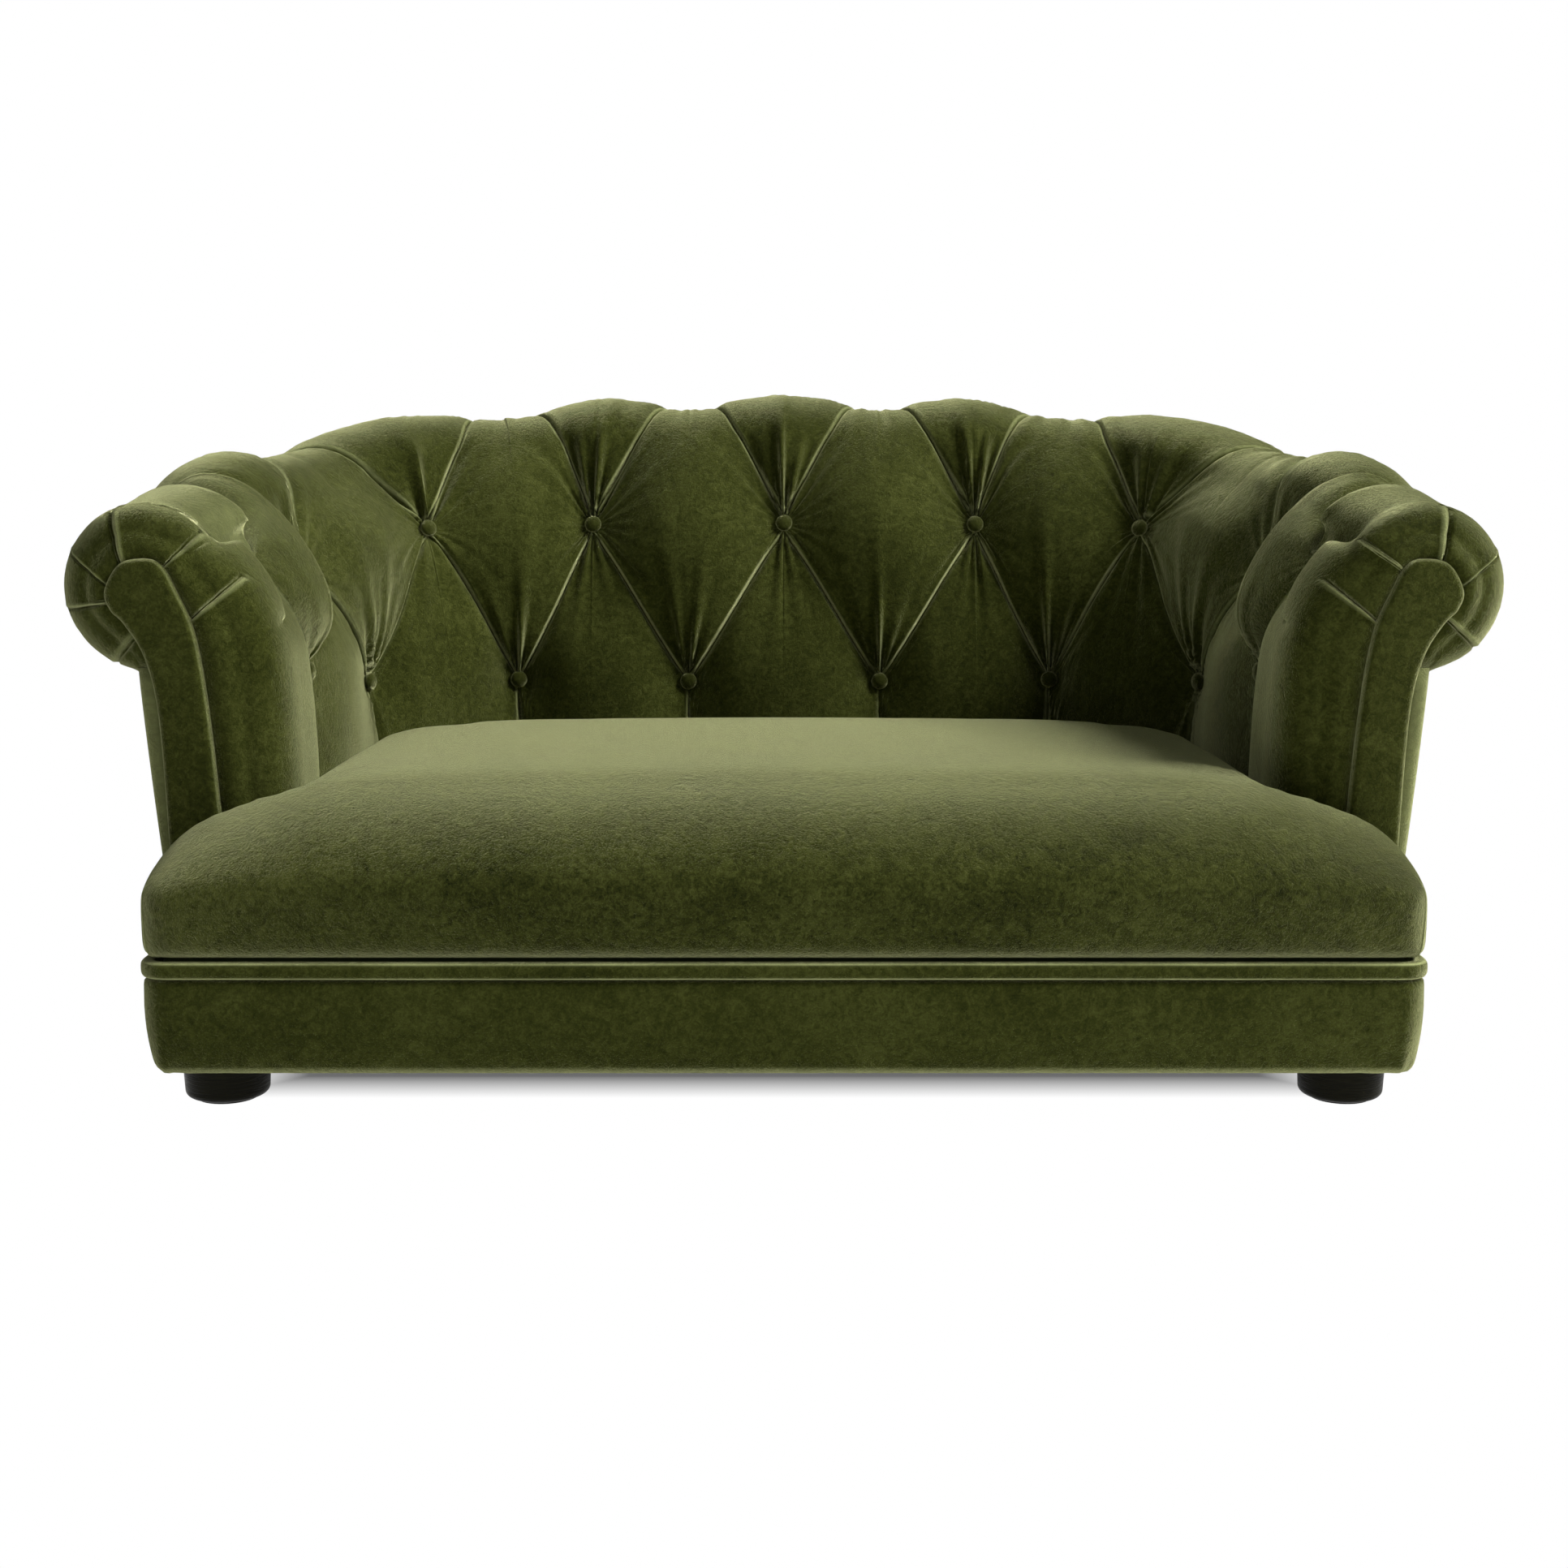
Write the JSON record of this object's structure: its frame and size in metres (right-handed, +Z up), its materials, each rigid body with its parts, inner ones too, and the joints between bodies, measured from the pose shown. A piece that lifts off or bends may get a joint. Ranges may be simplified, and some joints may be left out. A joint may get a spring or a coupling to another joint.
{
  "type": "dog sofa bed",
  "caption": "Low tufted tub sofa bed for a dog: rolled arms and back with covered buttons, a loose T-shaped seat cushion, a welted base and round feet.",
  "frame": {"origin": "on the floor, under the middle of the sofa", "axes": "+X to the right as seen from the front, +Y to the back, +Z up"},
  "size_m": [1.0262, 0.6421, 0.5069],
  "materials": {
    "velvet": "moss green velvet, short pile",
    "velvet_seat": "moss green velvet, brushed pile",
    "velvet_welt": "moss green velvet over piping cord",
    "velvet_button": "moss green velvet stretched over a button shell",
    "frame_wood": "raw plywood and pine",
    "foot_finish": "dark stained, satin",
    "hardware": "zinc plated steel",
    "felt": "pressed felt",
    "platform_cloth": "plain platform cloth over thin wadding",
    "dust_cloth": "black non-woven cloth",
    "foam": "cushion foam"
  },
  "bodies": {
    "sofa": {"back_buttons": "velvet_button", "back_liner": "frame_wood", "back_pad": "velvet", "back_top_rail": "frame_wood", "base_border": "velvet", "base_welt": "velvet_welt", "corner_blocks": "frame_wood", "cross_bearers": "frame_wood", "deck_pad": "platform_cloth", "deck_panel": "frame_wood", "dust_cover": "dust_cloth", "foot_bolts": "hardware", "foot_glides": "felt", "foot_insert_nuts": "hardware", "front_left_foot": "foot_finish", "front_rail": "frame_wood", "front_right_foot": "foot_finish", "left_arm_buttons": "velvet_button", "left_arm_facing": "velvet", "left_arm_liner": "frame_wood", "left_arm_pad": "velvet", "left_arm_stump": "frame_wood", "left_corner_rail": "frame_wood", "left_outside_arm": "velvet", "left_side_rail": "frame_wood", "left_top_rail": "frame_wood", "outside_back": "velvet", "rear_left_foot": "foot_finish", "rear_rail": "frame_wood", "rear_right_foot": "foot_finish", "right_arm_buttons": "velvet_button", "right_arm_facing": "velvet", "right_arm_liner": "frame_wood", "right_arm_pad": "velvet", "right_arm_stump": "frame_wood", "right_corner_rail": "frame_wood", "right_outside_arm": "velvet", "right_side_rail": "frame_wood", "right_top_rail": "frame_wood", "tub_ribs": "frame_wood"},
    "cushion": {"seat_cushion_cover": "velvet_seat", "seat_cushion_foam": "foam"}
  },
  "joints": [
    {"name": "cushion_lift", "type": "slide", "parent": "sofa", "child": "cushion", "axis": [0, 0, 1], "range_m": [0, 0.42]}
  ]
}
